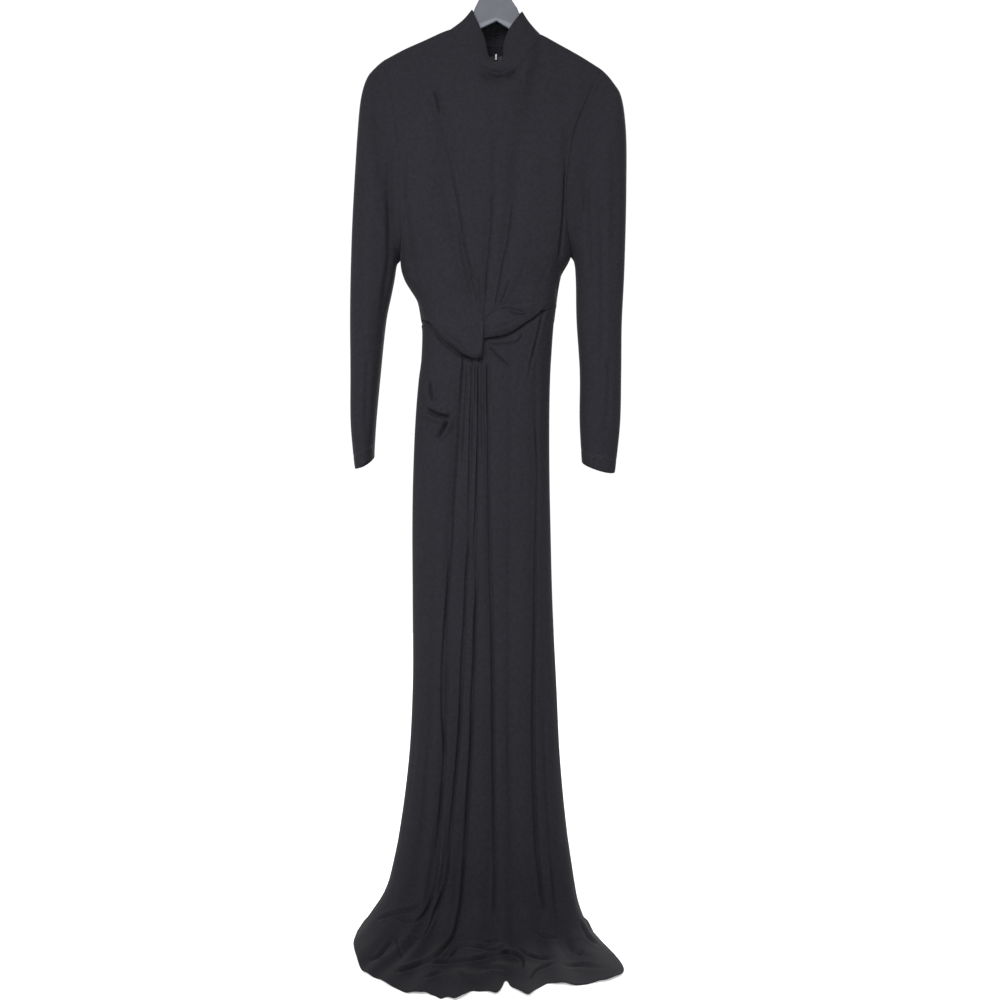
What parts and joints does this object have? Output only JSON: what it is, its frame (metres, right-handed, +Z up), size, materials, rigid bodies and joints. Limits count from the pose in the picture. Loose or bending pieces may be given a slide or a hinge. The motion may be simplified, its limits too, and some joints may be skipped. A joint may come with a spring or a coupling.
{
  "type": "maxi dress on a hanger",
  "caption": "Long-sleeved maxi dress of dark draped jersey with a funnel neck and a twist at the waist, hung on a flat hanger, its hem pooled on the floor.",
  "frame": {"origin": "inside the top of the hanger's hook, where a rail touches it", "axes": "+X to the right as the front is seen, +Y from the front to the back, +Z up"},
  "size_m": [0.4403, 0.477, 1.5854],
  "materials": {
    "jersey": "matte fine-knit jersey, near-black charcoal",
    "hanger": "flat moulded plastic, blue-grey",
    "hook_steel": "bright plated wire",
    "zip_tape": "woven tape, black",
    "zip_coil": "moulded coil teeth, black",
    "zip_metal": "plated metal",
    "fastener_steel": "plated thin wire"
  },
  "bodies": {
    "dress": {"hanger": "hanger", "hanger_hook": "hook_steel", "collar": "jersey", "bodice_front": "jersey", "back_left": "jersey", "back_right": "jersey", "twist_loop": "jersey", "sleeve_left": "jersey", "sleeve_right": "jersey", "skirt_front": "jersey", "skirt_back_left": "jersey", "skirt_back_right": "jersey", "zip_tape": "zip_tape", "zip_chain": "zip_coil", "zip_slider": "zip_metal", "collar_hook": "fastener_steel", "collar_eye": "fastener_steel"},
    "zip_pull": {"zip_pull_tab": "zip_metal"}
  },
  "joints": [
    {"name": "zip_pull_hinge", "type": "hinge", "parent": "dress", "child": "zip_pull", "pos_m": [0, 0.03825, -0.1778], "axis": [1, 0, 0], "range_deg": [0, 165]}
  ]
}
